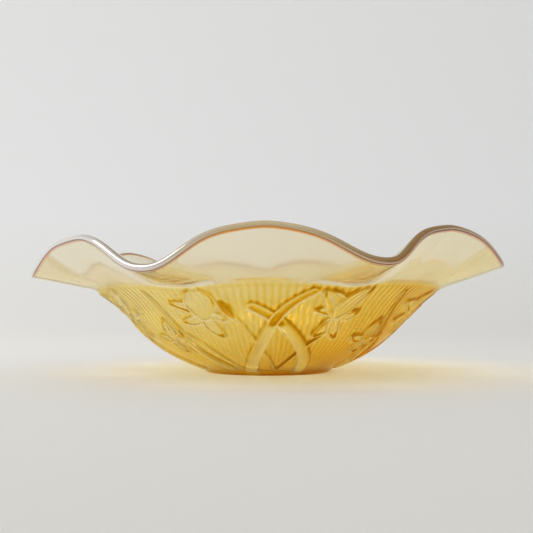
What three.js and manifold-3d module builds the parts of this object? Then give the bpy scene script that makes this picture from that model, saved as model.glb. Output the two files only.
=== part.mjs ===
// A pressed glass fruit bowl, flared and ruffled at the rim, in millimetres with +Z up.
// The origin is the centre of the foot, on the plane that the bowl stands on.
//
// Two kinds of coordinate are used on the wall of the bowl:
//   azimuth  degrees about +Z, 0 at the front (-Y), growing towards +X
//   rise     millimetres along the wall, 0 at the top of the foot, growing to the shoulder

import * as THREE from "three";
import { mergeVertices } from "three/addons/utils/BufferGeometryUtils.js";
import Module from "manifold-3d";

// ---------- driving dimensions ----------

const FOOT = {
  recessRadius: 30.5,
  recessDepth: 1.2,
  restRadius: 38.6, // outer edge of the flat ring that the bowl stands on
  cornerRadius: 40.2, // where the rounded corner of the foot ends
  cornerHeight: 0.6,
  topRadius: 42, // where the foot meets the wall
  topHeight: 3,
};
const BODY = {
  lowerPull: new THREE.Vector2(86, 19.7), // the two control points of the wall's curve
  upperPull: new THREE.Vector2(82.6, 36.8),
  shoulderRadius: 106.9,
  shoulderHeight: 52,
  thinsFrom: 0.5, // share of the way up from which the wall thins towards the shoulder
};
const RIM = {
  bend: 0.12, // share of the flange over which it bends away from the wall
  // each crest and dip of the hand-crimped ruffles: azimuth, the radius and height of its under edge,
  // and how full the slope after it is, from 0, an even wave, up
  ruffles: [
    [-152, 144, 62.5, 0.1],
    [-130.5, 138.8, 78.4, 0.1],
    [-111.5, 144, 60.8, 0.1],
    [-92.5, 138.8, 73.5, 0.12],
    [-74, 144.5, 57.4, 0.16],
    [-45.9, 138.8, 74.5, 0.03],
    [-24.5, 144.2, 56.7, 0.14],
    [-0.7, 138.8, 77.3, 0.09],
    [23.1, 144.2, 59.8, 0.15],
    [44.1, 138.8, 79.4, 0.1],
    [74, 144.4, 63.7, 0.1],
    [93, 138.8, 77, 0.1],
    [112, 143.5, 65.5, 0.1],
    [131, 138.8, 77.5, 0.1],
    [152, 143.8, 62, 0.1],
    [167, 139.5, 75, 0.1],
    [181.5, 140.5, 69, 0.1],
    [194.5, 139.8, 73.4, 0.1],
    [208, 144, 62.5, 0.1], // the first one again, a full turn on
  ],
};
const GLASS = { floor: 5.8, body: 4.8, shoulder: 4.45, rim: 4.3 };
const RELIEF = {
  height: { blade: 1.1, stem: 0.8, petal: 1.3, bud: 1.5 },
  droop: 0.45, // how much lower a ribbon's sides are than its middle, as a share of its height
  embed: 1.6, // how deep a ribbon is sunk into the wall
  repeats: 4,
  centre: 2.5, // azimuth at which the first motif's leaves cross
};

const SEGMENTS = 84; // round the bowl
const STEPS = { body: 6, flange: 4, edge: 4, insideBody: 4, insideFlange: 3 };
const PIECES = { blade: 6, stem: 3, petal: 3, bud: 3 };
const SLOPE_STEP = 0.01; // share of the flange over which its direction is measured

// ---------- the wall ----------

const DEGREE = Math.PI / 180;

const body = new THREE.CubicBezierCurve(
  new THREE.Vector2(FOOT.topRadius, FOOT.topHeight),
  BODY.lowerPull,
  BODY.upperPull,
  new THREE.Vector2(BODY.shoulderRadius, BODY.shoulderHeight),
);
const bodyLength = body.getLength();
const shoulderDirection = body.getTangentAt(1);
const shoulderSlope = shoulderDirection.y / shoulderDirection.x;

// The run covered at a full slope that fades smoothly to nothing over the first part of the way.
function fadedRun(share, fade) {
  if (share >= fade) return fade / 2;
  const x = share / fade;
  return share - fade * (x ** 3 - x ** 4 / 2);
}

// Where the under surface ends at the rim, as radius and height: it runs level through every crest and dip.
function rimEnd(azimuth) {
  const [firstAzimuth] = RIM.ruffles[0];
  const turned = firstAzimuth + THREE.MathUtils.euclideanModulo(azimuth - firstAzimuth, 360);
  const next = RIM.ruffles.findIndex(([place]) => place > turned);
  const [fromAzimuth, fromRadius, fromHeight, fullness] = RIM.ruffles[next - 1];
  const [toAzimuth, toRadius, toHeight] = RIM.ruffles[next];
  const even = (turned - fromAzimuth) / (toAzimuth - fromAzimuth);
  const way = even + Math.sign(toHeight - fromHeight) * fullness * Math.sin(Math.PI * even) ** 2;
  const eased = (1 - Math.cos(Math.PI * way)) / 2;
  const radius = THREE.MathUtils.lerp(fromRadius, toRadius, eased);
  return new THREE.Vector2(radius, THREE.MathUtils.lerp(fromHeight, toHeight, eased));
}

// The flange's under surface at one azimuth: a straight run to the rim after a soft bend at the shoulder.
function flangePoint(azimuth, share) {
  const end = rimEnd(azimuth);
  const reach = end.x - BODY.shoulderRadius;
  const climb = (end.y - BODY.shoulderHeight) / reach;
  const bent = fadedRun(1, RIM.bend);
  const slope = (climb - shoulderSlope * bent) / (1 - bent);
  const rise = slope * share + (shoulderSlope - slope) * fadedRun(share, RIM.bend);
  return new THREE.Vector2(BODY.shoulderRadius + reach * share, BODY.shoulderHeight + reach * rise);
}

function flangeDirection(azimuth, share) {
  const before = flangePoint(azimuth, share - SLOPE_STEP);
  return flangePoint(azimuth, share + SLOPE_STEP).sub(before).normalize();
}

// The point at a given depth inside the outer surface, which runs in the given direction there.
function inward(point, direction, depth) {
  return new THREE.Vector2(point.x - depth * direction.y, point.y + depth * direction.x);
}

function shares(count, from, to) {
  return Array.from({ length: count + 1 }, (_, i) => from + ((to - from) * i) / count);
}

// The rounded edge of the rim, from the under surface over to the inner one.
function rimEdge(azimuth) {
  const round = GLASS.rim / 2;
  const along = flangeDirection(azimuth, 1);
  const across = new THREE.Vector2(-along.y, along.x);
  const centre = inward(rimEnd(azimuth), along, round);
  return shares(STEPS.edge, -90, 90).map((angle) =>
    centre
      .clone()
      .addScaledVector(along, round * Math.cos(angle * DEGREE))
      .addScaledVector(across, round * Math.sin(angle * DEGREE)),
  );
}

// The bowl's section at one azimuth, from the axis under the foot round to the axis inside.
function wallSection(azimuth) {
  const floorHeight = FOOT.recessDepth + GLASS.floor;
  const foot = [
    new THREE.Vector2(0, FOOT.recessDepth),
    new THREE.Vector2(FOOT.recessRadius - FOOT.recessDepth, FOOT.recessDepth),
    new THREE.Vector2(FOOT.recessRadius, 0),
    new THREE.Vector2(FOOT.restRadius, 0),
    new THREE.Vector2(FOOT.cornerRadius, FOOT.cornerHeight),
  ];
  const outerBody = shares(STEPS.body, 0, 1).map((u) => body.getPointAt(u));
  const outerFlange = shares(STEPS.flange, 0, 1).map((u) => flangePoint(azimuth, u));
  const innerFlange = shares(STEPS.insideFlange, 1, 0).map((u) => {
    const thickness = THREE.MathUtils.lerp(GLASS.shoulder, GLASS.rim, u);
    return inward(flangePoint(azimuth, u), flangeDirection(azimuth, u), thickness);
  });
  const innerBody = shares(STEPS.insideBody, 1, 0).map((u) => {
    const thinned = THREE.MathUtils.smoothstep(u, BODY.thinsFrom, 1);
    const thickness = THREE.MathUtils.lerp(GLASS.body, GLASS.shoulder, thinned);
    return inward(body.getPointAt(u), body.getTangentAt(u), thickness);
  });
  return [
    ...foot,
    ...outerBody,
    ...outerFlange.slice(1, -1),
    ...rimEdge(azimuth),
    ...innerFlange.slice(1, -1),
    ...innerBody,
    new THREE.Vector2(FOOT.recessRadius, floorHeight),
    new THREE.Vector2(0, floorHeight),
  ];
}

function aboutAxis(azimuth, radius, height) {
  const angle = azimuth * DEGREE;
  return new THREE.Vector3(radius * Math.sin(angle), -radius * Math.cos(angle), height);
}

// A lathe of the front section, in which every section then takes the shape of its own azimuth.
function ruffledWall() {
  const front = wallSection(0);
  const lathe = new THREE.LatheGeometry(front, SEGMENTS);
  const places = lathe.getAttribute("position");
  for (let segment = 0; segment <= SEGMENTS; segment += 1) {
    const azimuth = (360 * (segment % SEGMENTS)) / SEGMENTS;
    wallSection(azimuth).forEach((point, i) => {
      const place = aboutAxis(azimuth, point.x, point.y);
      places.setXYZ(segment * front.length + i, place.x, place.y, place.z);
    });
  }
  return lathe;
}

// ---------- the relief: an iris motif, repeated round the wall ----------

// How wide each kind of ribbon is along its length, as a share of its full width.
const OUTLINES = {
  blade: (t) => 1 - 0.45 * t,
  stem: () => 1,
  petal: (t) => 0.25 + 0.75 * Math.sin(Math.PI * (0.08 + 0.84 * t)),
  bud: (t) => 0.12 + 0.88 * Math.sin(Math.PI * t),
};

// A ribbon that runs up the wall through points given as [azimuth, rise].
function strip(kind, width, ...path) {
  return { kind, width, path };
}

// A petal or bud that starts at a flower's heart and leans from straight up by the given degrees.
function leaf(kind, heart, lean, length, width) {
  const [azimuth, rise] = heart;
  const across = length * Math.sin(lean * DEGREE);
  const up = length * Math.cos(lean * DEGREE);
  const perDegree = bodyAt(rise + up / 2).point.x * DEGREE;
  return { kind, width, path: [heart, [azimuth + across / perDegree, rise + up]] };
}

// The wall's outer point and direction at a rise.
function bodyAt(rise) {
  const share = THREE.MathUtils.clamp(rise / bodyLength, 0, 1);
  return { point: body.getPointAt(share), direction: body.getTangentAt(share) };
}

const MOTIF = [
  // two broad leaves that cross
  strip("blade", 8.5, [-16, 2], [-7, 31], [0, 56], [11, 79]),
  strip("blade", 8, [21.5, 2], [14.5, 27], [4, 50], [-8, 65]),
  // a bud on its stem to the left, and the stem of the flower on the right
  strip("stem", 1.9, [1.5, 6], [-6, 33], [-14.3, 58]),
  leaf("bud", [-14.3, 56.5], -27, 14, 6),
  strip("stem", 1.9, [4, 6], [13.7, 33], [21, 47], [21.5, 58]),
  // the flower on the right
  leaf("petal", [21.5, 60], -30, 22, 11),
  leaf("petal", [21.5, 60], 26, 23, 12),
  leaf("petal", [21.5, 59], -76, 13, 6),
  leaf("petal", [21.5, 60], 205, 18, 8),
  leaf("petal", [21.5, 60], 162, 18, 8),
  // the flower on the left
  leaf("petal", [-24.5, 60], 8, 21, 18),
  leaf("petal", [-25, 59], -62, 19, 9),
  leaf("petal", [-25, 59], -112, 15, 8),
  leaf("petal", [-25, 59], 158, 17, 8),
  // the low flower between two motifs, and the leaf beside it
  leaf("petal", [-47, 40], 10, 13, 10),
  leaf("petal", [-47, 40], -80, 11, 7),
  leaf("petal", [-47, 40], 172, 12, 8),
  strip("blade", 5.5, [-29, 8], [-37, 28], [-40, 46], [-44.5, 77]),
];

// A low box that is bent along its path, crowned across it, and follows the wall.
function ribbon({ kind, width, path }, turn) {
  const box = new THREE.BoxGeometry(1, 1, 1, PIECES[kind], 2, 1);
  const spine = new THREE.SplineCurve(path.map(([azimuth, rise]) => new THREE.Vector2(azimuth, rise)));
  const places = box.getAttribute("position");
  for (let i = 0; i < places.count; i += 1) {
    const along = places.getX(i) + 0.5;
    const across = 2 * places.getY(i);
    const middle = spine.getPoint(along);
    const run = spine.getTangent(along);
    const perDegree = bodyAt(middle.y).point.x * DEGREE;
    const heading = new THREE.Vector2(run.x * perDegree, run.y).normalize();
    const offset = (across * width * OUTLINES[kind](along)) / 2;

    const azimuth = middle.x - (offset * heading.y) / perDegree;
    const rise = middle.y + offset * heading.x;
    const crown = RELIEF.height[kind] * (1 - RELIEF.droop * across ** 2);
    const depth = places.getZ(i) > 0 ? -crown : RELIEF.embed;
    const wall = bodyAt(rise);
    const point = inward(wall.point, wall.direction, depth);
    const place = aboutAxis(azimuth + turn, point.x, point.y);
    places.setXYZ(i, place.x, place.y, place.z);
  }
  return box;
}

// ---------- joining the solids ----------

const wasm = await Module();
wasm.setup();

// A closed geometry as a solid, without the flat triangles that a lathe leaves on its axis.
function toSolid(geometry) {
  const bare = geometry.clone().deleteAttribute("normal").deleteAttribute("uv");
  const merged = mergeVertices(bare);
  const corners = [];
  for (let i = 0; i < merged.index.count; i += 3) {
    const face = [0, 1, 2].map((k) => merged.index.getX(i + k));
    if (new Set(face).size === 3) corners.push(...face);
  }
  const mesh = new wasm.Mesh({
    numProp: 3,
    vertProperties: new Float32Array(merged.attributes.position.array),
    triVerts: new Uint32Array(corners),
  });
  return new wasm.Manifold(mesh);
}

function toGeometry(solid) {
  const mesh = solid.getMesh();
  const geometry = new THREE.BufferGeometry();
  geometry.setAttribute("position", new THREE.BufferAttribute(mesh.vertProperties, mesh.numProp));
  geometry.setIndex(new THREE.BufferAttribute(mesh.triVerts, 1));
  return geometry;
}

function pressedBowl() {
  let solid = toSolid(ruffledWall());
  for (let repeat = 0; repeat < RELIEF.repeats; repeat += 1) {
    const turn = RELIEF.centre + (360 * repeat) / RELIEF.repeats;
    for (const piece of MOTIF) solid = solid.add(toSolid(ribbon(piece, turn)));
  }
  return toGeometry(solid);
}

// ---------- the bowl ----------

const amberGlass = new THREE.MeshStandardMaterial({
  color: "#d9a63a",
  roughness: 0.08,
  metalness: 0,
  transparent: true,
  opacity: 0.6,
});

const bowl = new THREE.Mesh(pressedBowl(), amberGlass);
bowl.name = "glass_bowl";

const part = new THREE.Group();
part.add(bowl);

export default part;
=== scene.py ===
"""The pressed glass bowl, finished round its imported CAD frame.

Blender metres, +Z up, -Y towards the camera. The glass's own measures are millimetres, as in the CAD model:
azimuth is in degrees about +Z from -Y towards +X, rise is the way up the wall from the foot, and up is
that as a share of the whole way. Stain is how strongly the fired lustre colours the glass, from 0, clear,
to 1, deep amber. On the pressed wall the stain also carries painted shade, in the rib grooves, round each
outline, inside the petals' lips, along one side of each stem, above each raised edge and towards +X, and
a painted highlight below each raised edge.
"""

import math

import bpy
import numpy as np
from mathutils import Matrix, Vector


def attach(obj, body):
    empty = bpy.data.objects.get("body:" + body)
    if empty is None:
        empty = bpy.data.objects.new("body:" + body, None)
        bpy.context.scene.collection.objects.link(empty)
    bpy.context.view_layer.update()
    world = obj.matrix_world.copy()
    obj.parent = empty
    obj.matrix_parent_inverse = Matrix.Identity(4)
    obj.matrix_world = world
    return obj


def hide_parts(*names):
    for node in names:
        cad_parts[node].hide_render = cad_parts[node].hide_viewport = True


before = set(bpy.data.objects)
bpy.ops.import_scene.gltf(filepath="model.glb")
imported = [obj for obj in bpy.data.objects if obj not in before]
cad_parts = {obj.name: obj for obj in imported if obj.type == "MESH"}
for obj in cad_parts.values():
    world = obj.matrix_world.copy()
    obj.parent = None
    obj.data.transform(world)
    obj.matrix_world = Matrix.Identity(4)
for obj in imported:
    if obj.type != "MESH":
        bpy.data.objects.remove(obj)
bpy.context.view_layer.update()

MM = 0.001
DEGREE = math.pi / 180
NODE = "glass_bowl"

# ---------- the wall's driving dimensions, millimetres ----------

FOOT_RECESS_RADIUS = 30.5
FOOT_RECESS_DEPTH = 1.2
FOOT_REST_RADIUS = 38.6
FOOT_INNER_LIP = 0.6
FOOT_OUTER_CORNER = 1.1
FOOT_CORNER_INSET = 0.2
MIDDLE_RINGS = (10.0, 20.0)
REST_RINGS = (33.5, 36.0)

# the outer wall from foot to shoulder: the four points of a cubic Bezier curve, as radius and height
WALL_CURVE = np.array([[42.0, 3.0], [86.0, 19.7], [82.6, 36.8], [106.9, 52.0]])
SHOULDER_BEND = 0.12
FLOOR_GLASS = 5.8
FLOOR_BEND = 0.3
WALL_GLASS = 4.8
SHOULDER_GLASS = 4.45
RIM_GLASS = 4.3

# how far the crimping carried the shoulder with the rim above it: a share of the rim's height from level,
# which fades out at a share of the way up the wall
SHOULDER_FOLLOWS = 0.13
LEVEL_RIM_HEIGHT = 76.2
FOLLOWS_FROM = 0.45

# each crest and dip of the hand-crimped ruffles: azimuth, the radius and height of the rim's under edge,
# and how full the slope after it is, from 0, an even wave, up
RIM = np.array(
    [
        (-152.0, 144.0, 62.5, 0.1),
        (-130.5, 138.8, 78.4, 0.1),
        (-111.5, 144.0, 60.8, 0.1),
        (-92.5, 138.8, 73.5, 0.12),
        (-74.0, 144.5, 57.4, 0.16),
        (-45.9, 138.8, 74.5, 0.03),
        (-24.5, 144.2, 56.7, 0.14),
        (-0.7, 138.8, 77.3, 0.09),
        (23.1, 144.2, 59.8, 0.15),
        (44.1, 138.8, 79.4, 0.1),
        (74.0, 144.4, 63.7, 0.1),
        (93.0, 138.8, 77.0, 0.1),
        (112.0, 143.5, 65.5, 0.1),
        (131.0, 138.8, 77.5, 0.1),
        (152.0, 143.8, 62.0, 0.1),
        (167.0, 139.5, 75.0, 0.1),
        (181.5, 140.5, 69.0, 0.1),
        (194.5, 139.8, 73.4, 0.1),
        (208.0, 144.0, 62.5, 0.1),
    ]
)

RIBS = 160
RIB_DEPTH = 0.18
MOTIF_REPEATS = 4
MOTIF_CENTRE = 2.5
REPEAT = 360.0 / MOTIF_REPEATS

# ---------- the relief's heights over the wall, millimetres ----------

STALK_HEIGHT = 1.3
HOLLOW_HEIGHT = 0.4
RIDGE_HEIGHT = 0.85
LEAF_VEIN_HEIGHT = 0.06
STEM_EDGE_HEIGHT = 0.35
STEM_DOME_HEIGHT = 0.65
PETAL_HEIGHT = 0.5
PETAL_LIP_HEIGHT = 0.75
PETAL_VEIN_HEIGHT = 0.13
PETAL_HEART_HEIGHT = 0.3
BUD_EDGE_HEIGHT = 0.55
BUD_DOME_HEIGHT = 0.85
BUD_SEAM_DEPTH = 0.25
OUTLINE_SOFT_FROM = -0.35
OUTLINE_SOFT_TO = 0.45

# ---------- how strongly the lustre stains each part, and the painted shade and highlight laid in with it ---

GROUND_STAIN = 0.42
GROUND_STAIN_LOST = 0.11
# painted shade: the rib grooves are stained deeper than the crests
GROOVE_PAINTED_SHADE = 0.12
MEAN_CREST = 0.64
# painted shade above each raised edge, and a painted highlight below it, by the relief's slope
PAINTED_SHADE_ABOVE = 1.1
PAINTED_HIGHLIGHT_BELOW = 0.5
BLADE_STAIN = 0.20
BLADE_HOLLOW_STAIN = 0.5
PETAL_STAIN = 0.22
STEM_STAIN = 0.12
BUD_STAIN = 0.72
FOOT_STAIN = 0.7
PLAIN_STAIN = 0.02

# how far the wall's stain runs on over the flange, as a share of the flange's width
STAIN_RUNS_ON = 0.10

# ---------- how finely the glass is meshed ----------

COLUMNS = RIBS * 8
WALL_ROWS = 160
FLANGE_ROWS = 28
EDGE_ROWS = 12
INNER_WALL_ROWS = 36
CURVE_SAMPLES = 2001


def smoothstep(low, high, x):
    t = np.clip((x - low) / (high - low), 0.0, 1.0)
    return t * t * (3.0 - 2.0 * t)


# ---------- the wall's curve ----------


def wall_curve():
    """Rise, radius, height and direction of the outer wall, finely sampled from foot to shoulder."""
    t = np.linspace(0.0, 1.0, CURVE_SAMPLES)[:, None]
    a, b, c, d = WALL_CURVE
    points = (1 - t) ** 3 * a + 3 * (1 - t) ** 2 * t * b + 3 * (1 - t) * t**2 * c + t**3 * d
    steps = np.hypot(*np.diff(points, axis=0).T)
    rise = np.concatenate([[0.0], np.cumsum(steps)])
    direction = np.gradient(points, rise, axis=0)
    return rise, points, direction


RISE, WALL_POINTS, WALL_DIRECTIONS = wall_curve()
WALL_LENGTH = RISE[-1]
SHOULDER = WALL_POINTS[-1]
SHOULDER_SLOPE = WALL_DIRECTIONS[-1, 1] / WALL_DIRECTIONS[-1, 0]


def wall_at(rise):
    """Radius, height and direction of the outer wall at a rise, each as an array."""
    radius, height = (np.interp(rise, RISE, WALL_POINTS[:, k]) for k in range(2))
    along = [np.interp(rise, RISE, WALL_DIRECTIONS[:, k]) for k in range(2)]
    size = np.hypot(*along)
    return radius, height, along[0] / size, along[1] / size


# ---------- the ruffled flange ----------


def faded_run(share, fade):
    """The integral, up to a share, of a weight that eases from 1 at the start to 0 at the fade's end."""
    x = np.clip(share / fade, 0.0, 1.0)
    return np.where(share < fade, share - fade * (x**3 - x**4 / 2), fade / 2)


def rim_end(azimuth):
    """Radius and height of the rim's under edge, which runs level through every crest and dip."""
    turned = (azimuth - RIM[0, 0]) % 360.0 + RIM[0, 0]
    after = np.searchsorted(RIM[:, 0], turned, side="right")
    a, b = RIM[after - 1], RIM[after]
    even = (turned - a[:, 0]) / (b[:, 0] - a[:, 0])
    way = even + np.sign(b[:, 2] - a[:, 2]) * a[:, 3] * np.sin(math.pi * even) ** 2
    eased = (1 - np.cos(math.pi * way))[:, None] / 2
    radius, height = (a + (b - a) * eased).T[1:3]
    return radius, height


def crimped(azimuth, up):
    """How far the crimping lifted the wall at each azimuth, at a share of the way up it."""
    return SHOULDER_FOLLOWS * (rim_end(azimuth)[1] - LEVEL_RIM_HEIGHT) * smoothstep(FOLLOWS_FROM, 1.0, up)


def flange(azimuth, share):
    """Radius and height of the flange's under surface: a straight run to the rim after a soft bend."""
    end_radius, end_height = rim_end(azimuth)
    start_height = SHOULDER[1] + crimped(azimuth, 1.0)
    reach = end_radius - SHOULDER[0]
    climb = (end_height - start_height) / reach
    bent = SHOULDER_BEND / 2
    slope = (climb - SHOULDER_SLOPE * bent) / (1 - bent)
    rise = slope * share + (SHOULDER_SLOPE - slope) * faded_run(share, SHOULDER_BEND)
    return SHOULDER[0] + reach * share, start_height + reach * rise


def about_axis(azimuth, radius, height):
    """Points in space from their azimuth, radius and height."""
    angle, radius, height = np.broadcast_arrays(azimuth * DEGREE, radius, height)
    return np.stack([radius * np.sin(angle), -radius * np.cos(angle), height], axis=-1)


def unit(vectors):
    return vectors / np.linalg.norm(vectors, axis=-1, keepdims=True)


# ---------- the relief: an iris motif, repeated round the wall ----------


def spline(points, samples=40):
    """A Catmull-Rom curve through points, with its ends doubled."""
    p = np.array([points[0], *points, points[-1]], float)
    out = []
    for s in np.linspace(0.0, len(points) - 1, samples):
        k = min(int(s), len(points) - 2)
        t = s - k
        a, b, c, d = p[k : k + 4]
        out.append(
            0.5 * (2 * b + (c - a) * t + (2 * a - 5 * b + 4 * c - d) * t**2 + (3 * b - a - 3 * c + d) * t**3)
        )
    return np.array(out)


def per_degree(rise):
    """Millimetres round the wall in one degree, at a rise."""
    return wall_at(rise)[0] * DEGREE


def bump(x, centre, width):
    """A smooth rise to 1 at a centre, which falls off to either side over a width."""
    return np.exp(-(((x - centre) / width) ** 2))


class Pressing:
    """The outer wall's relief over a grid of points: how far it stands out in millimetres, and its stain."""

    def __init__(self, azimuth, rise):
        self.azimuth, self.rise = azimuth, rise
        up = rise / WALL_LENGTH
        crest = np.abs(np.cos(math.pi * (azimuth + MOTIF_CENTRE) * RIBS / 360.0))
        self.ribs = RIB_DEPTH * crest * smoothstep(0.0, 0.9, up)
        self.height = np.zeros_like(self.ribs)
        ground = GROUND_STAIN - GROUND_STAIN_LOST * smoothstep(0.0, 0.75, up)
        # painted shade: deeper stain in the rib grooves than on the crests, the more so up the wall
        self.stain = ground + (GROOVE_PAINTED_SHADE + GROOVE_PAINTED_SHADE * up) * (MEAN_CREST - crest)

    def lay(self, stroke, half_width, height, stain):
        """Lays a ribbon over what is there. Its outline is soft, with painted shade in the crease just
        outside it.
        """
        inside = half_width - np.abs(stroke.across)
        cover = smoothstep(OUTLINE_SOFT_FROM, OUTLINE_SOFT_TO, inside)
        painted_shading = 0.08 * bump(inside, -0.55, 0.45) * smoothstep(1.0, 0.9, stroke.along)
        self.height = self.height * (1 - cover) + height * cover
        self.ribs = self.ribs * (1 - cover)
        self.stain = (self.stain + painted_shading) * (1 - cover) + stain * cover

    def finish(self):
        """The relief and its stain. The relief runs out at the foot and the shoulder."""
        ends = smoothstep(0.0, 1.2, self.rise) * smoothstep(WALL_LENGTH, WALL_LENGTH - 2.0, self.rise)
        # painted shade above each raised edge, and a painted highlight below it
        fall = -np.gradient(soften(self.height, 6), self.rise[:, 0], axis=0)
        painted_shading = np.where(fall > 0.0, PAINTED_SHADE_ABOVE, PAINTED_HIGHLIGHT_BELOW) * np.clip(fall, -0.8, 0.45)
        return (self.height + self.ribs) * ends, np.clip(self.stain + painted_shading, 0.05, 1.1)


class Stroke:
    """Where every point of the wall lies on a ribbon: along it from 0 to 1, and across it in millimetres."""

    def __init__(self, path, wall):
        path = np.array(path, float)
        centre = path[:, 0].mean()
        around = (wall.azimuth - centre + REPEAT / 2) % REPEAT - REPEAT / 2
        flat = np.stack([around * per_degree(wall.rise), wall.rise], axis=-1)
        curve = spline(path)
        curve = np.stack([(curve[:, 0] - centre) * per_degree(curve[:, 1]), curve[:, 1]], axis=-1)
        starts, runs = curve[:-1], np.diff(curve, axis=0)
        lengths = np.hypot(*runs.T)
        offset = flat[..., None, :] - starts
        t = np.clip((offset * runs).sum(-1) / lengths**2, 0.0, 1.0)
        away = offset - t[..., None] * runs
        distance = np.hypot(away[..., 0], away[..., 1])
        nearest = distance.argmin(-1)[..., None]
        side = np.sign(runs[:, 0] * offset[..., 1] - runs[:, 1] * offset[..., 0])
        before = np.concatenate([[0.0], np.cumsum(lengths)])
        self.along = np.take_along_axis(before[:-1] + t * lengths, nearest, -1)[..., 0] / before[-1]
        self.across = np.take_along_axis(distance * side, nearest, -1)[..., 0]


def toward(heart, lean, length):
    """The point a length away from a heart, leaning from straight up by some degrees."""
    across = length * math.sin(lean * DEGREE)
    up = length * math.cos(lean * DEGREE)
    return (heart[0] + across / per_degree(heart[1] + up / 2), heart[1] + up)


def blade(wall, path, width, tip, opens):
    """A long leaf: a smooth round stalk that opens, part way up, into a hollow between two ridges."""
    s = Stroke(path, wall)
    half = width / 2 * (1 - (1 - tip) * s.along)
    q = np.abs(s.across) / half
    stalk = STALK_HEIGHT * (1 - 0.4 * q**2)
    ridges = bump(q, 0.82, 0.2)
    veins = np.cos(s.across * 5.5)
    hollow = HOLLOW_HEIGHT + RIDGE_HEIGHT * ridges + LEAF_VEIN_HEIGHT * veins
    open_part = smoothstep(opens - 0.02, opens + 0.03, s.along)
    height = stalk + (hollow - stalk) * open_part
    well = bump(s.along, opens + 0.05, 0.035) * smoothstep(0.75, 0.45, q)
    open_stain = BLADE_HOLLOW_STAIN + 0.07 * veins + 0.5 * well - 0.45 * ridges
    stain = BLADE_STAIN - 0.10 * bump(q, 0.85, 0.2)
    wall.lay(s, half, height, stain + (open_stain - stain) * open_part)


def stem(wall, path, width):
    """A thin round stalk, with painted shade along one side."""
    s = Stroke(path, wall)
    q = s.across / (width / 2)
    height = STEM_EDGE_HEIGHT + STEM_DOME_HEIGHT * np.sqrt(np.clip(1 - q**2, 0.0, 1.0))
    wall.lay(s, width / 2, height, STEM_STAIN + 0.6 * smoothstep(0.1, 0.7, q))


def petal(wall, heart, lean, length, width, curl=0.0, veins=3, shade=0.0):
    """A petal: a hollow inside a raised lip, with veins, broadest past its middle.

    shade is the side along which painted shade lies inside the lip: -1 right, 1 left, 0 the tip alone.
    """
    middle = toward(heart, lean + curl, length * 0.55)
    s = Stroke([heart, middle, toward(heart, lean, length)], wall)
    swell = np.sin(math.pi * (0.06 + 0.86 * s.along**0.9)) ** 0.6
    half = width / 2 * (0.12 + 0.88 * swell)
    inside = half - np.abs(s.across)
    q = s.across / half
    lip = bump(inside, 0.75, 0.6)
    within = smoothstep(0.8, 2.2, inside)
    veined = within * smoothstep(0.05, 0.25, s.along) * smoothstep(0.98, 0.8, s.along)
    vein = np.cos(q * math.pi * veins) * veined
    height = PETAL_HEIGHT + PETAL_LIP_HEIGHT * lip + PETAL_VEIN_HEIGHT * vein
    height = height + PETAL_HEART_HEIGHT * smoothstep(0.35, 0.0, s.along)
    # painted shade inside the lip, along one side and at the tip
    one_side = smoothstep(-0.2, 0.8, q * shade) * smoothstep(0.2, 0.5, s.along) if shade else 0.0
    tip = smoothstep(0.78, 0.93, s.along)
    painted_shading = bump(inside, 1.75, 0.7) * np.maximum(one_side, tip)
    stain = PETAL_STAIN - 0.12 * lip - 0.07 * vein + 0.8 * painted_shading
    wall.lay(s, half, height, stain)


def bud(wall, heart, lean, length, width):
    """A closed bud: a deep-coloured dome inside a pale lip."""
    s = Stroke([heart, toward(heart, lean, length)], wall)
    half = width / 2 * (0.15 + 0.85 * np.sin(math.pi * (0.04 + 0.92 * s.along)) ** 0.8)
    q = s.across / half
    inside = half - np.abs(s.across)
    lip = bump(inside, 0.35, 0.4)
    seam = bump(s.across, 0.12 * width, 0.3)
    dome = np.sqrt(np.clip(1 - q**2, 0.0, 1.0))
    height = BUD_EDGE_HEIGHT + BUD_DOME_HEIGHT * dome - BUD_SEAM_DEPTH * seam
    wall.lay(s, half, height, BUD_STAIN + 0.2 * seam - 0.6 * lip)


LEFT_HEART = (-25.0, 60.0)
RIGHT_HEART = (21.5, 60.0)
LOW_HEART = (-47.0, 40.0)

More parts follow.
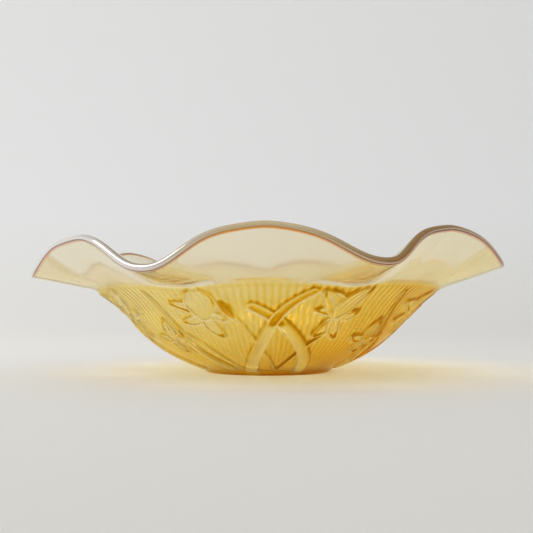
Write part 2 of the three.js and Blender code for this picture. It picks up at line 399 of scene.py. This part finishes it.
# each piece of the motif, from the lowest up: a stem's path and width; a bud's heart, lean, length and
# width; a blade's path, width, taper and where it opens; a petal's heart, lean, length, width, curl, veins
# and shade. A path's points are azimuth from the motif's centre, and rise.
MOTIF = [
    (stem, [(1.5, 5), (-6, 33), (-14.3, 58)], 2.0),
    (stem, [(4, 5), (13.7, 33), (21, 47), (21.5, 58)], 2.0),
    (stem, [(-21, 6), (-31, 33), (-37, 44)], 2.2),
    (bud, (-14.3, 56.5), -27, 14, 6.6),
    (bud, (-37.5, 25), -20, 11, 6),
    (bud, (-38.5, 47), -35, 9, 4.5),
    (blade, [(21.5, -1), (14.5, 27), (4, 50), (-8, 65)], 8.0, 0.75, 0.72),
    (blade, [(-16, -1), (-7, 31), (0, 56), (11, 79)], 8.5, 0.6, 0.60),
    (blade, [(-29, 6), (-37, 28), (-40, 46), (-44.5, 77)], 5.5, 0.55, 0.5),
    (petal, RIGHT_HEART, 84, 13, 7.5, 14, 1, 1),
    (petal, RIGHT_HEART, 208, 18, 9, -8, 2, -1),
    (petal, RIGHT_HEART, 165, 18, 9, 8, 2, 0),
    (petal, RIGHT_HEART, -76, 13, 6.5, 10, 1, 1),
    (petal, RIGHT_HEART, -30, 22, 13, 8, 2, 0),
    (petal, RIGHT_HEART, 28, 25, 14, -6, 4, 1),
    (petal, LEFT_HEART, -112, 15, 8, -10, 2, 0),
    (petal, LEFT_HEART, 112, 12, 6, -12, 1, 0),
    (petal, LEFT_HEART, 158, 18, 8.5, 10, 2, 0),
    (petal, LEFT_HEART, -62, 19, 9, 12, 2, 1),
    (petal, LEFT_HEART, 4, 22, 19, 0, 5, -1),
    (petal, LOW_HEART, 95, 10, 7, 10, 1, 0),
    (petal, LOW_HEART, 172, 12, 8, 8, 2, 0),
    (petal, LOW_HEART, -80, 11, 7, -10, 1, 1),
    (petal, LOW_HEART, 10, 14, 10, 0, 3, 0),
]


def soften(values, times=1):
    """Fire-polishes a grid of values, whose columns run on round the motif."""
    for _ in range(times):
        values = (np.roll(values, 1, axis=1) + 2 * values + np.roll(values, -1, axis=1)) / 4
        ends = np.vstack([values[:1], values, values[-1:]])
        values = (ends[:-2] + 2 * ends[1:-1] + ends[2:]) / 4
    return values


def pressed_wall(azimuth, rise):
    """How far the pressed wall stands out at each point, in millimetres, and its stain."""
    wall = Pressing(azimuth - MOTIF_CENTRE, rise)
    for draw, *shape in MOTIF:
        draw(wall, *shape)
    return [soften(values) for values in wall.finish()]


# ---------- the glass as one closed mesh ----------


def profile_rows(azimuth, points):
    """A ring of points for each radius and height of a profile."""
    return [about_axis(azimuth, radius, height) for radius, height in points]


def arc(centre, radius, start, end, count):
    """Points of an arc in the section plane, from one angle to another in degrees."""
    return [
        (centre[0] + radius * math.cos(a * DEGREE), centre[1] + radius * math.sin(a * DEGREE))
        for a in np.linspace(start, end, count)
    ]


def foot_rows(azimuth):
    """The recess under the foot, the flat ring that it stands on, and the foot's rounded side."""
    ceiling = FOOT_RECESS_DEPTH
    lip = FOOT_INNER_LIP
    corner = FOOT_OUTER_CORNER
    inner = [(r, ceiling) for r in (*MIDDLE_RINGS, FOOT_RECESS_RADIUS - 2 * lip)]
    inner += arc((FOOT_RECESS_RADIUS - 2 * lip, lip), lip, 90, 0, 5)[1:]
    ring = arc((FOOT_RECESS_RADIUS + lip, lip), lip, 180, 270, 5)[1:]
    ring += [(r, 0.0) for r in REST_RINGS]
    side = arc((FOOT_REST_RADIUS - FOOT_CORNER_INSET, corner), corner, 270, 330, 5)
    return profile_rows(azimuth, inner + ring + side)


def wall_rows(azimuth):
    """The ribbed, pressed outer wall, worked out for one repeat and carried round, and its stain."""
    rise = np.linspace(0.0, WALL_LENGTH, WALL_ROWS)
    one = azimuth[: COLUMNS // MOTIF_REPEATS]
    height, stain = (np.tile(v, (1, MOTIF_REPEATS)) for v in pressed_wall(*np.meshgrid(one, rise)))
    radius, z, across, up = (v[:, None] for v in wall_at(rise))
    z = z + crimped(azimuth, rise[:, None] / WALL_LENGTH)
    return list(about_axis(azimuth, radius + height * up, z - height * across)), stain


def flange_rows(azimuth):
    """The flange's under surface, its rounded edge and its upper surface, with an even thickness."""
    share = np.linspace(0.0, 1.0, FLANGE_ROWS)[:, None]
    under = about_axis(azimuth, *flange(azimuth, share))
    step = 0.002
    along = about_axis(azimuth, *flange(azimuth, share + step)) - under
    around = np.roll(under, -1, axis=1) - np.roll(under, 1, axis=1)
    normal = unit(np.cross(along, around))

    edge_centre = under[-1] + normal[-1] * RIM_GLASS / 2
    outward = unit(np.cross(unit(around[-1]), normal[-1]))
    edge = []
    for angle in np.linspace(-90, 90, EDGE_ROWS + 2)[1:-1] * DEGREE:
        offset = outward * math.cos(angle) + normal[-1] * math.sin(angle)
        edge.append(edge_centre + offset * RIM_GLASS / 2)

    glass = SHOULDER_GLASS + (RIM_GLASS - SHOULDER_GLASS) * share[..., None]
    upper = (under + normal * glass)[::-1]
    return list(under[1:]), edge, list(upper)


def inner_rows(azimuth):
    """The plain inside of the wall, from the shoulder down, and the floor."""
    rise = np.linspace(WALL_LENGTH, 0.0, INNER_WALL_ROWS)[1:]
    radius, z, across, up = wall_at(rise)
    glass = WALL_GLASS + (SHOULDER_GLASS - WALL_GLASS) * smoothstep(0.5, 1.0, rise / WALL_LENGTH)
    lift = crimped(azimuth, rise[:, None] / WALL_LENGTH)
    wall = list(zip(radius - glass * up, (z + glass * across)[:, None] + lift))
    level = FOOT_RECESS_DEPTH + FLOOR_GLASS
    edge_radius, edge_height = wall[-1][0], wall[-1][1][0]
    floor = []
    for share in (0.25, 0.5, 0.75, 1.0):
        radius = edge_radius * (1 - FLOOR_BEND * share)
        floor.append((radius, level + (edge_height - level) * (1 - share) ** 2))
    floor += [(r, level) for r in reversed(MIDDLE_RINGS)]
    return profile_rows(azimuth, wall + floor)


def closed_mesh(name, rows, first, last, edge_rows, stain):
    """A closed body from rings of points, with a point at each end, and each ring's stain.

    edge_rows get the second material.
    """
    columns = len(rows[0])
    points = np.concatenate([[first], *rows, [last]]) * MM
    count = len(rows)
    ring = np.arange(columns)
    following = (ring + 1) % columns
    quads = []
    for row in range(count - 1):
        low = 1 + row * columns
        high = low + columns
        quads.append(np.stack([low + ring, low + following, high + following, high + ring], 1))
    quads = np.concatenate(quads)
    top = 1 + (count - 1) * columns
    caps = [
        np.stack([np.zeros_like(ring), 1 + following, 1 + ring], 1),
        np.stack([np.full_like(ring, top + columns), top + ring, top + following], 1),
    ]
    caps = np.concatenate(caps)

    mesh = bpy.data.meshes.new(name)
    mesh.vertices.add(len(points))
    mesh.vertices.foreach_set("co", points.astype(np.float32).ravel())
    mesh.loops.add(quads.size + caps.size)
    mesh.loops.foreach_set("vertex_index", np.concatenate([quads.ravel(), caps.ravel()]).astype(np.int32))
    mesh.polygons.add(len(quads) + len(caps))
    sizes = np.concatenate([np.full(len(quads), 4), np.full(len(caps), 3)])
    starts = np.concatenate([[0], np.cumsum(sizes)[:-1]])
    mesh.polygons.foreach_set("loop_start", starts.astype(np.int32))
    slots = np.zeros(len(sizes), np.int32)
    slots[edge_rows[0] * columns : edge_rows[1] * columns] = 1
    mesh.update(calc_edges=True)
    mesh.validate()
    mesh.polygons.foreach_set("material_index", slots)
    mesh.shade_smooth()
    stains = np.concatenate([stain[0][:1], *stain, stain[-1][:1]])
    mesh.attributes.new("stain", "FLOAT", "POINT").data.foreach_set("value", stains.astype(np.float32))
    piece = bpy.data.objects.new(name, mesh)
    bpy.context.scene.collection.objects.link(piece)
    return piece


def glass_piece():
    """The whole bowl, in rings from the middle of its underside, over the rim, to the middle inside."""
    azimuth = np.arange(COLUMNS) * 360.0 / COLUMNS
    foot = foot_rows(azimuth)
    wall, wall_stain = wall_rows(azimuth)
    under, edge, upper = flange_rows(azimuth)
    inner = inner_rows(azimuth)
    rows = foot + wall + under + edge + upper + inner

    plain = np.full(COLUMNS, PLAIN_STAIN)
    fade = smoothstep(0.0, STAIN_RUNS_ON, np.linspace(0.0, 1.0, FLANGE_ROWS)[1:])
    across = np.linspace(0.0, 1.0, EDGE_ROWS + 2)[1:-1]
    stain = [np.full(COLUMNS, FOOT_STAIN)] * len(foot) + list(wall_stain)
    stain += [wall_stain[-1] * (1 - f) + plain * f for f in fade]
    stain += [np.full(COLUMNS, share) for share in across]
    stain += [plain] * (len(upper) + len(inner))

    first_edge = len(foot) + len(wall) + len(under) - 1
    edge_rows = (first_edge, first_edge + len(edge) + 1)
    below = (0.0, 0.0, FOOT_RECESS_DEPTH)
    above = (0.0, 0.0, FOOT_RECESS_DEPTH + FLOOR_GLASS)
    return closed_mesh("bowl_glass", rows, below, above, edge_rows, stain)


# ---------- materials ----------


def new_material(name):
    """A material and its empty node tree."""
    material = bpy.data.materials.new(name)
    material.use_nodes = True
    tree = material.node_tree
    tree.nodes.clear()
    return material, tree


def add(tree, kind, **values):
    """A node with its sockets set by name, with _ for a space."""
    node = tree.nodes.new("ShaderNode" + kind)
    for key, value in values.items():
        node.inputs[key.replace("_", " ")].default_value = value
    return node


def ramp(tree, factor, *stops):
    """A colour that follows a factor through stops, each a place and a colour."""
    node = tree.nodes.new("ShaderNodeValToRGB")
    elements = node.color_ramp.elements
    for element, (place, colour) in zip(elements, (stops[0], stops[-1])):
        element.position = place
        element.color = colour
    for place, colour in stops[1:-1]:
        elements.new(place).color = colour
    tree.links.new(factor, node.inputs["Fac"])
    return node.outputs["Color"]


def carried(tree, value, source, target):
    """A value carried from one range, low and high, to another, and held to it."""
    node = tree.nodes.new("ShaderNodeMapRange")
    for name, limit in zip(("From Min", "From Max", "To Min", "To Max"), (*source, *target)):
        node.inputs[name].default_value = limit
    tree.links.new(value, node.inputs["Value"])
    return node.outputs["Result"]


def product(tree, a, b):
    """One value times another."""
    node = tree.nodes.new("ShaderNodeMath")
    node.operation = "MULTIPLY"
    tree.links.new(a, node.inputs[0])
    tree.links.new(b, node.inputs[1])
    return node.outputs["Value"]


def place_split(tree):
    """The place of each point of the piece, whole and as its three coordinates."""
    place = tree.nodes.new("ShaderNodeTexCoord").outputs["Object"]
    split = tree.nodes.new("ShaderNodeSeparateXYZ")
    tree.links.new(place, split.inputs["Vector"])
    return place, split.outputs


# painted light and shade: the stain is scaled paler towards -X, the side the window lights, and deeper
# towards +X, the side away from it: two places along X in metres, and the scale there
SHADED_SIDE_BETWEEN = (-0.09, 0.12)
SHADED_SIDE_BY = (0.80, 2.65)


def stain_with_shading(tree):
    """The lustre's strength at each point: the pressing's own, scaled deeper towards +X as painted shade and
    paler towards -X as painted light, and a little uneven.
    """
    own = tree.nodes.new("ShaderNodeAttribute")
    own.attribute_name = "stain"
    place, axes = place_split(tree)
    shaded_side = carried(tree, axes["X"], SHADED_SIDE_BETWEEN, SHADED_SIDE_BY)
    uneven = add(tree, "TexNoise", Scale=38.0, Detail=3.0)
    tree.links.new(place, uneven.inputs["Vector"])
    cloud = carried(tree, uneven.outputs["Fac"], (0.3, 0.7), (0.86, 1.14))
    return product(tree, own.outputs["Fac"], product(tree, shaded_side, cloud))


# what a lamp's light keeps as it crosses a face of the glass, and the colour of the glass inside
SHADOW_TINT = (0.87, 0.86, 0.85, 1)
GLASS_TINT = (1.0, 0.86, 0.24, 1)
GLASS_DENSITY = 38.0


def lit_through(tree, glass):
    """Colours the glass inside, and lets lamps shine through it: its shadow would be black without that."""
    clear = tree.nodes.new("ShaderNodeBsdfTransparent")
    clear.inputs["Color"].default_value = SHADOW_TINT
    path = tree.nodes.new("ShaderNodeLightPath")
    mix = tree.nodes.new("ShaderNodeMixShader")
    tree.links.new(path.outputs["Is Shadow Ray"], mix.inputs["Fac"])
    tree.links.new(glass.outputs["BSDF"], mix.inputs[1])
    tree.links.new(clear.outputs["BSDF"], mix.inputs[2])
    output = tree.nodes.new("ShaderNodeOutputMaterial")
    tree.links.new(mix.outputs["Shader"], output.inputs["Surface"])
    inside = add(tree, "VolumeAbsorption", Color=GLASS_TINT, Density=GLASS_DENSITY)
    tree.links.new(inside.outputs["Volume"], output.inputs["Volume"])


# the face's colour by the lustre's strength, with the painted shading in it, from none to the thickest
LUSTRE_TINTS = (
    (0.0, (1.0, 0.955, 0.90, 1)),
    (0.14, (1.0, 0.94, 0.60, 1)),
    (0.42, (1.0, 0.85, 0.30, 1)),
    (0.75, (0.97, 0.64, 0.03, 1)),
    (1.0, (0.64, 0.28, 0.0, 1)),
)
GLINT_TINT = (1.0, 0.80, 0.18, 1)


def carnival_glass():
    """Clear amber glass with a fired lustre: golden on the pressed wall, pale peach on the flange."""
    material, tree = new_material("carnival_glass")
    # lustre here is the stain with its painted shade and painted highlight
    lustre = stain_with_shading(tree)
    tint = ramp(tree, lustre, *LUSTRE_TINTS)
    glass = add(tree, "BsdfPrincipled", IOR=1.5, Transmission_Weight=1.0)
    glass.inputs["Specular Tint"].default_value = GLINT_TINT
    tree.links.new(tint, glass.inputs["Base Color"])
    tree.links.new(carried(tree, lustre, (0.0, 0.40), (0.05, 0.50)), glass.inputs["Metallic"])
    tree.links.new(carried(tree, lustre, (0.0, 0.7), (0.07, 0.15)), glass.inputs["Roughness"])
    lit_through(tree, glass)
    return material


# the rim's bands of lustre, with a painted reflection of the window in the broad white band on the left and
# painted shade in the dark brown bands on the right: each a place across the edge, from below to above, and
# a colour
LEFT_BANDS_PAINTED_REFLECTION = (
    (0.0, (0.92, 0.62, 0.34, 1)),
    (0.10, (0.90, 0.72, 0.62, 1)),
    (0.19, (0.34, 0.17, 0.10, 1)),
    (0.27, (1.0, 0.98, 0.95, 1)),
    (0.66, (1.0, 0.98, 0.94, 1)),
    (0.80, (0.58, 0.46, 0.20, 1)),
    (1.0, (0.72, 0.62, 0.40, 1)),
)
BANDS_FRONT = (
    (0.0, (1.0, 0.74, 0.40, 1)),
    (0.08, (0.95, 0.56, 0.16, 1)),
    (0.17, (0.62, 0.28, 0.05, 1)),
    (0.28, (1.0, 0.82, 0.50, 1)),
    (0.62, (1.0, 0.79, 0.45, 1)),
    (0.78, (0.62, 0.48, 0.22, 1)),
    (1.0, (0.78, 0.62, 0.36, 1)),
)
RIGHT_BANDS_PAINTED_SHADE = (
    (0.0, (0.95, 0.58, 0.18, 1)),
    (0.10, (0.84, 0.62, 0.52, 1)),
    (0.19, (0.24, 0.07, 0.04, 1)),
    (0.28, (0.90, 0.72, 0.52, 1)),
    (0.38, (0.42, 0.26, 0.10, 1)),
    (0.72, (0.46, 0.31, 0.12, 1)),
    (1.0, (0.66, 0.50, 0.28, 1)),
)
FAR_RIM = (1.0, 0.93, 0.80, 1)

# where one set of bands passes into the next, along X or, from near to far, along Y
LEFT_TO_FRONT = (-0.06, -0.02)
FRONT_TO_RIGHT = (0.01, 0.06)
NEAR_TO_FAR = (-0.03, 0.03)


def blended(tree, share, low, high):
    """A colour that goes from low to high, where high may be one fixed colour."""
    mix = tree.nodes.new("ShaderNodeMix")
    mix.data_type = "RGBA"
    tree.links.new(share, mix.inputs["Factor"])
    tree.links.new(low, mix.inputs["A"])
    if isinstance(high, tuple):
        mix.inputs["B"].default_value = high
    else:
        tree.links.new(high, mix.inputs["B"])
    return mix.outputs["Result"]


def rim_lustre_and_painted_reflection():
    """The rim's edge, where the lustre is thickest, in bands along the edge that differ round the bowl: a
    painted reflection of the window on the left, painted shade on the right.
    """
    material, tree = new_material("rim_lustre_and_painted_reflection")
    across = tree.nodes.new("ShaderNodeAttribute")
    across.attribute_name = "stain"
    axes = place_split(tree)[1]
    bands = (LEFT_BANDS_PAINTED_REFLECTION, BANDS_FRONT, RIGHT_BANDS_PAINTED_SHADE)
    left, front, right = (ramp(tree, across.outputs["Fac"], *stops) for stops in bands)
    near = blended(tree, carried(tree, axes["X"], LEFT_TO_FRONT, (0.0, 1.0)), left, front)
    near = blended(tree, carried(tree, axes["X"], FRONT_TO_RIGHT, (0.0, 1.0)), near, right)
    behind = carried(tree, axes["Y"], NEAR_TO_FAR, (0.0, 1.0))
    glass = add(tree, "BsdfPrincipled", Metallic=0.8, IOR=1.5, Transmission_Weight=0.9)
    tree.links.new(blended(tree, behind, near, FAR_RIM), glass.inputs["Base Color"])
    tree.links.new(carried(tree, behind, (0.0, 1.0), (0.12, 0.35)), glass.inputs["Roughness"])
    lit_through(tree, glass)
    return material


# the floor's and the wall's colour, and the height over which one passes into the other
FLOOR_COLOUR = (0.755, 0.735, 0.695, 1)
BACKDROP_COLOUR = (0.795, 0.79, 0.78, 1)
PAINT_CHANGES = (0.0, 0.25)


def floor_paint():
    """Matt pale paint, a little warmer on the floor than on the wall behind."""
    material, tree = new_material("pale_floor")
    paint = add(tree, "BsdfPrincipled", Roughness=0.85)
    raised = carried(tree, place_split(tree)[1]["Z"], PAINT_CHANGES, (0.0, 1.0))
    shade = ramp(tree, raised, (0.0, FLOOR_COLOUR), (1.0, BACKDROP_COLOUR))
    tree.links.new(shade, paint.inputs["Base Color"])
    output = tree.nodes.new("ShaderNodeOutputMaterial")
    tree.links.new(paint.outputs["BSDF"], output.inputs["Surface"])
    return material


# ---------- the studio ----------

FLOOR_RADIUS = 0.75
FLOOR_STEPS = 4
SWEEP_RADIUS = 1.1
SWEEP_TOP = 1.35
SWEEP_COLUMNS = 96
SWEEP_STEPS = 12


def sweep():
    """A pale floor that curves up into a wall all round."""
    columns = SWEEP_COLUMNS
    profile = [(r * FLOOR_RADIUS / FLOOR_STEPS, 0.0) for r in range(1, FLOOR_STEPS + 1)]
    profile += [
        (FLOOR_RADIUS + SWEEP_RADIUS * math.sin(a), SWEEP_RADIUS * (1 - math.cos(a)))
        for a in np.linspace(0, math.pi / 2, SWEEP_STEPS + 1)[1:]
    ]
    profile.append((FLOOR_RADIUS + SWEEP_RADIUS, SWEEP_TOP))
    points = [(0.0, 0.0, 0.0)]
    for radius, height in profile:
        for k in range(columns):
            angle = 2 * math.pi * k / columns
            points.append((radius * math.cos(angle), radius * math.sin(angle), height))
    faces = [(0, 1 + k, 1 + (k + 1) % columns) for k in range(columns)]
    for row in range(len(profile) - 1):
        low = 1 + row * columns
        for k in range(columns):
            nxt = (k + 1) % columns
            faces.append((low + k, low + columns + k, low + columns + nxt, low + nxt))
    mesh = bpy.data.meshes.new("floor_sweep")
    mesh.from_pydata(points, [], faces)
    mesh.shade_smooth()
    floor = bpy.data.objects.new("floor_sweep", mesh)
    bpy.context.scene.collection.objects.link(floor)
    floor.data.materials.append(floor_paint())


def softbox(name, place, target, size, power, colour, reflected=True):
    """A rectangular lamp at a place, aimed at a target, and seen in reflections only where asked."""
    light = bpy.data.lights.new(name, "AREA")
    light.shape = "RECTANGLE"
    light.size, light.size_y = size
    light.energy = power
    light.color = colour
    lamp = bpy.data.objects.new(name, light)
    lamp.location = place
    lamp.rotation_mode = "QUATERNION"
    lamp.rotation_quaternion = (Vector(target) - Vector(place)).to_track_quat("-Z", "Y")
    lamp.visible_camera = False
    lamp.visible_glossy = reflected
    bpy.context.scene.collection.objects.link(lamp)


SKY_COLOUR = (0.96, 0.98, 1.0, 1)
SKY_STRENGTH = 0.61


def sky():
    world = bpy.data.worlds.new("soft_sky")
    world.use_nodes = True
    back = world.node_tree.nodes["Background"]
    back.inputs["Color"].default_value = SKY_COLOUR
    back.inputs["Strength"].default_value = SKY_STRENGTH
    bpy.context.scene.world = world


# the photograph's viewpoint, in metres and degrees, with a lens for a sensor 36 mm wide
CAMERA_PLACE = (-0.001, -0.512, 0.0388)
CAMERA_PITCH = 3.13
SENSOR = 36.0
LENS = 53.76


def camera():
    data = bpy.data.cameras.new("camera")
    data.sensor_width = SENSOR
    data.lens = LENS
    data.clip_start = 0.01
    view = bpy.data.objects.new("camera", data)
    view.location = CAMERA_PLACE
    view.rotation_euler = ((90 + CAMERA_PITCH) * DEGREE, 0, 0)
    bpy.context.scene.collection.objects.link(view)
    bpy.context.scene.camera = view


# ---------- putting it together ----------

bowl = glass_piece()
bowl.data.materials.append(carnival_glass())
bowl.data.materials.append(rim_lustre_and_painted_reflection())
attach(bowl, "root")
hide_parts(NODE)

sweep()
softbox(
    "wall_wash",
    place=(-0.55, -0.2, 1.5),
    target=(-0.2, 1.85, 0.36),
    size=(1.2, 0.6),
    power=13.6,
    colour=(0.97, 0.985, 1.0),
    reflected=False,
)
softbox(
    "window",
    place=(-1.35, -0.3, 1.05),
    target=(0, 0, 0.06),
    size=(1.0, 0.6),
    power=4.5,
    colour=(1.0, 0.99, 0.97),
)
sky()
camera()

scene = bpy.context.scene
scene.view_settings.view_transform = "Standard"
scene.cycles.max_bounces = 24
scene.cycles.transmission_bounces = 20
scene.cycles.glossy_bounces = 8
